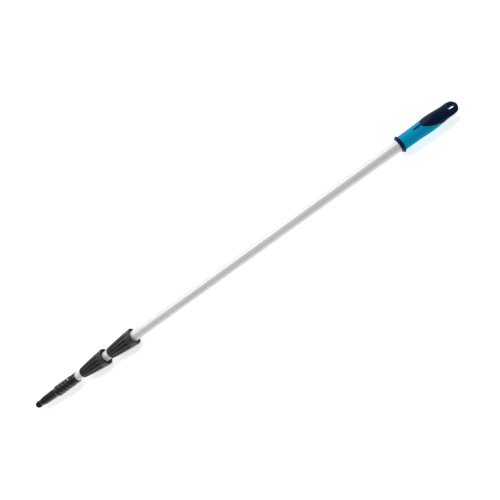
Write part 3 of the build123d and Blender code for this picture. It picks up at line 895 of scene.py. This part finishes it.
def grip_surface(x, angle, lift=0.0):
    """Points on the grip's outside, or a little off it, with the slot's rim rolled over."""
    x, angle = np.broadcast_arrays(x, angle)
    wide, thick = grip_half_sizes(x)
    across, up = direction(angle)
    normal = np.stack([across * thick, up * wide], -1)
    normal /= np.maximum(np.linalg.norm(normal, axis=-1, keepdims=True), 1e-9)
    y = wide * across + lift * normal[..., 0]
    z = thick * up + lift * normal[..., 1]
    away = np.clip(slot_distance(x, y), 0, SLOT_FILLET)
    roll = SLOT_FILLET - np.sqrt(np.maximum(SLOT_FILLET**2 - (SLOT_FILLET - away) ** 2, 0))
    inside = slot_distance(x, y) < SLOT_FILLET
    z = np.where(inside, np.sign(z) * np.maximum(np.abs(z) - roll, 0.4), z)
    return np.stack([GRIP_X + x, y, z], -1)


def grip_sleeve():
    """The soft overmould: its edges roll over, and a low bead follows its rear edge."""
    angle = np.linspace(0, 2 * math.pi, GRIP_COLUMNS, endpoint=False)
    end = soft_end(angle) - REAR_SEAM_GAP
    start = RING_END_X + SEAM_GAP
    rows = []
    near = [0, 0.08, 0.22, 0.45, 0.8]
    bead = [0, 0.1, 0.25, 0.45, 0.7, 1.0, 1.4, 1.8, 2.3, 2.9, 3.6]
    for d in near:
        rows.append((start + d, -0.35 * (1 - min(d / 0.6, 1)) ** 2))
    first = start + near[-1]
    last = end - bead[-1]
    for t in np.linspace(0.02, 0.97, 60):
        rows.append((first + (last - first) * t, 0.0))
    for d in bead[::-1]:
        swell = SOFT_BEAD_HEIGHT * math.exp(-(((d - SOFT_BEAD_PLACE) / SOFT_BEAD_WIDTH) ** 2))
        rows.append((end - d, swell - 0.4 * (1 - min(d / 0.5, 1)) ** 2))
    outer = np.stack([grip_surface(np.broadcast_to(x, angle.shape), angle, lift) for x, lift in rows])
    under = []
    for t in np.linspace(1, 0, 16):
        under.append(grip_surface(start + (end - start) * t, angle, -SOFT_THICKNESS))
    return [(np.concatenate([outer, np.stack(under)]), True)]


def ring_outline():
    """The collar at the grip's front: a lip that swells to a rounded ridge and falls to the waist."""
    return rounded(
        [
            (0, SOCKET_R, 0.3),
            (0, WAIST_R - 0.3, 0.9),
            (2.0, WAIST_R + 1.0, 1.6),
            (4.5, RING_R, 2.0),
            (6.2, RING_R, 1.2),
            (7.5, WAIST_R + 1.6, 1.0),
            (RING_END_X, WAIST_R + 0.5, 0.3),
            (RING_END_X, WAIST_R - 1.0, 0),
        ],
        closed=False,
        steps=6,
    )


def grip_core():
    """The hard moulding, closed from the bottom of its socket round the outside to its tip."""
    angle = np.linspace(0, 2 * math.pi, GRIP_COLUMNS, endpoint=False)
    socket = np.array([(SOCKET_END_X, 0.0), (SOCKET_END_X, SOCKET_R), (0.6, SOCKET_R)])
    front = np.concatenate([socket, ring_outline()])
    rows = [polar(GRIP_X + x, r, angle) for x, r in front]
    edge = soft_end(angle)
    for t in np.linspace(0, 1, 16):
        x = RING_END_X + 0.05 + (edge - RING_END_X - 0.05) * t
        rows.append(grip_surface(x, angle, -SOFT_SEAT_DEPTH))
    rolled = ((0.0, -0.45), (0.06, -0.25), (0.18, -0.1), (0.4, -0.02), (0.8, 0.0), (CORE_LEDGE, 0.0))
    for d, lift in rolled:
        rows.append(grip_surface(edge + d, angle, lift))
    ledge = edge + CORE_LEDGE
    for t in np.linspace(0.04, 1, 26):
        rows.append(grip_surface(ledge + (TAIL_START - ledge) * t, angle))
    for x in np.arange(TAIL_START + TAIL_ROW_STEP, GRIP_LAST, TAIL_ROW_STEP):
        rows.append(grip_surface(x, angle))
    for t in np.linspace(0, math.pi / 2, 7):
        x = GRIP_LAST + (GRIP_LENGTH - GRIP_LAST) * math.sin(t)
        rows.append(grip_surface(x, angle))
    return [(np.stack(rows), False), (tongue(), True)]


def tongue():
    """The hard strip that runs forward from the moulding into the soft sleeve, a little proud of it."""
    noses_long = (TONGUE[1] - TONGUE[0]) / TONGUE_NOSE
    round_end = 1 - np.cos(np.linspace(0, math.pi / 2, 9))
    steps = np.concatenate([round_end, np.linspace(1.25, noses_long, 24)])
    shape = [(0.0, 1.0), (0.35, 1.0), (0.65, 1.0), (0.85, 0.93), (0.95, 0.7), (1.0, 0.2), (1.0, -2.0)]
    profile = [(-w, h) for w, h in shape[::-1]] + shape[1:] + [(0.5, -2.0), (0.0, -2.0), (-0.5, -2.0)]
    rows = []
    for step in steps:
        x = TONGUE[0] + TONGUE_NOSE * step
        half = TONGUE_HALF_WIDTH * (1 - (1 - min(step, 1)) ** 2.6) ** (1 / 2.6)
        half = max(half, 0.05)
        closing = min(1.0, 0.35 + step)
        wide, _ = grip_half_sizes(np.array(x))
        angles = np.array([math.asin(-w * half / wide) for w, _ in profile])
        lifts = np.array([TONGUE_RISE * h * (closing if h > 0 else 1) for _, h in profile])
        rows.append(grip_surface(np.full(len(profile), x), angles, lifts))
    first = np.repeat(rows[0].mean(0, keepdims=True), len(profile), 0)
    last = np.repeat(rows[-1].mean(0, keepdims=True), len(profile), 0)
    return np.stack([first, *rows, last])


def slot_cutter():
    """The stadium that cuts the hanging slot."""
    turn = np.linspace(-math.pi / 2, math.pi / 2, 33)
    loop = [(SLOT_ENDS[1] + SLOT_R * math.cos(t), SLOT_R * math.sin(t)) for t in turn]
    loop += [(SLOT_ENDS[0] - SLOT_R * math.cos(t), -SLOT_R * math.sin(t)) for t in turn]
    bm = bmesh.new()
    reach = 0.025
    base = [bm.verts.new((NOSE_X + (GRIP_X + x) * MM, y * MM, AXIS_Z - reach)) for x, y in loop]
    face = bm.faces.new(base)
    top = bmesh.ops.extrude_face_region(bm, geom=[face])["geom"]
    raised = [v for v in top if isinstance(v, bmesh.types.BMVert)]
    bmesh.ops.translate(bm, vec=(0, 0, 2 * reach), verts=raised)
    bmesh.ops.recalc_face_normals(bm, faces=bm.faces)
    mesh = bpy.data.meshes.new("slot_cutter")
    bm.to_mesh(mesh)
    bm.free()
    cutter = bpy.data.objects.new("slot_cutter", mesh)
    bpy.context.scene.collection.objects.link(cutter)
    return cutter


def grip():
    shown("grip_sleeve_soft", grip_sleeve(), "handle", "grip_sleeve", GRIP_SOFT, sharp=60)
    core = shown("grip_core_hard", grip_core(), "handle", "grip_core", GRIP_HARD, sharp=60)
    cutter = slot_cutter()
    cut = core.modifiers.new("slot", "BOOLEAN")
    cut.operation = "DIFFERENCE"
    cut.solver = "EXACT"
    cut.object = cutter
    bpy.context.view_layer.update()
    done = bpy.data.meshes.new_from_object(core.evaluated_get(bpy.context.evaluated_depsgraph_get()))
    core.modifiers.clear()
    core.data = done
    bpy.data.objects.remove(cutter)
    tidy_mesh(core.data, 50)


# ---- assembly ------------------------------------------------------------------------------------

# pieces that CAD already shapes, which only get a material
INSIDE = {
    "rear_lock_sleeve": SLEEVE,
    "front_lock_sleeve": SLEEVE,
    "rear_sleeve_pins": STEEL,
    "front_sleeve_pins": STEEL,
    "rear_clamp_ring": NYLON,
    "front_clamp_ring": NYLON,
    "middle_guide_bush": NYLON,
    "inner_guide_bush": NYLON,
    "outer_end_plug": NYLON,
    "inner_tube_plug": NYLON,
}

tubes()
collar("rear_lock_nut", "rear_nut_cap", "rear_nut", OUTER_R, MIDDLE_R)
collar("front_lock_nut", "front_nut_cap", "front_nut", MIDDLE_R, INNER_R)
tool_cone()
nose_cap()
cone_screws()
grip()

for node, finish in INSIDE.items():
    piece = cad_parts[node]
    piece.data.materials.clear()
    piece.data.materials.append(finish)

# ---- stage ---------------------------------------------------------------------------------------


FLOOR_HALF_SIZE = 12.0
WORLD_STRENGTH = 0.26
CENTRE = (0, 0, 0)


def floor():
    half = FLOOR_HALF_SIZE
    corners = [(-half, -half, 0), (half, -half, 0), (half, half, 0), (-half, half, 0)]
    mesh = bpy.data.meshes.new("floor")
    mesh.from_pydata(corners, [], [(0, 1, 2, 3)])
    piece = bpy.data.objects.new("floor", mesh)
    bpy.context.scene.collection.objects.link(piece)
    finish = bpy.data.materials.new("floor_white")
    finish.use_nodes = True
    shader = finish.node_tree.nodes["Principled BSDF"]
    shader.inputs["Base Color"].default_value = (0.8, 0.8, 0.8, 1)
    shader.inputs["Roughness"].default_value = 0.9
    shader.inputs["Specular IOR Level"].default_value = 0.1
    shader.inputs["Emission Color"].default_value = (1, 1, 1, 1)
    shader.inputs["Emission Strength"].default_value = 0.68
    mesh.materials.append(finish)


def area_light(name, place, long, wide, power):
    """A soft box over the pole, aimed at its middle, with its longer side along X."""
    data = bpy.data.lights.new(name, "AREA")
    data.shape = "RECTANGLE"
    data.size = long
    data.size_y = wide
    data.energy = power
    light = bpy.data.objects.new(name, data)
    light.location = place
    light.rotation_mode = "QUATERNION"
    light.rotation_quaternion = (Vector(CENTRE) - Vector(place)).to_track_quat("-Z", "Y")
    bpy.context.scene.collection.objects.link(light)


def world_light(strength):
    world = bpy.data.worlds.new("studio")
    world.use_nodes = True
    background = world.node_tree.nodes["Background"]
    background.inputs["Color"].default_value = (1, 1, 1, 1)
    background.inputs["Strength"].default_value = strength
    bpy.context.scene.world = world


def camera():
    """The photograph's viewing angle: above the pole and to its -Y side, the grip a little nearer."""
    swing = math.radians(12)
    lean = math.radians(30)
    roll = math.radians(35.84)
    distance = 1.119
    aim = Vector((0.0975, 0, AXIS_Z))
    nudge_along = 0.0017
    nudge_below = 0.0051
    forward = Vector((-math.sin(swing), math.cos(swing) * math.sin(lean), -math.cos(swing) * math.cos(lean)))
    along = Vector((1, 0, 0))
    along = (along - along.dot(forward) * forward).normalized()
    below = forward.cross(along)
    right = math.cos(roll) * along + math.sin(roll) * below
    up = math.sin(roll) * along - math.cos(roll) * below
    data = bpy.data.cameras.new("camera")
    data.sensor_width = 36
    data.lens = 32.4
    data.clip_start = 0.05
    data.clip_end = 50
    view = bpy.data.objects.new("camera", data)
    place = aim - distance * forward - nudge_along * along - nudge_below * below
    view.matrix_world = Matrix(
        (
            (right.x, up.x, -forward.x, place.x),
            (right.y, up.y, -forward.y, place.y),
            (right.z, up.z, -forward.z, place.z),
            (0, 0, 0, 1),
        )
    )
    bpy.context.scene.collection.objects.link(view)
    bpy.context.scene.camera = view


floor()
world_light(WORLD_STRENGTH)
area_light("key", (-0.1, 0.75, 1.6), long=2.8, wide=0.5, power=27)
area_light("back", (0, 1.7, 0.5), long=3.0, wide=0.9, power=12)
camera()
bpy.context.scene.view_settings.view_transform = "Standard"
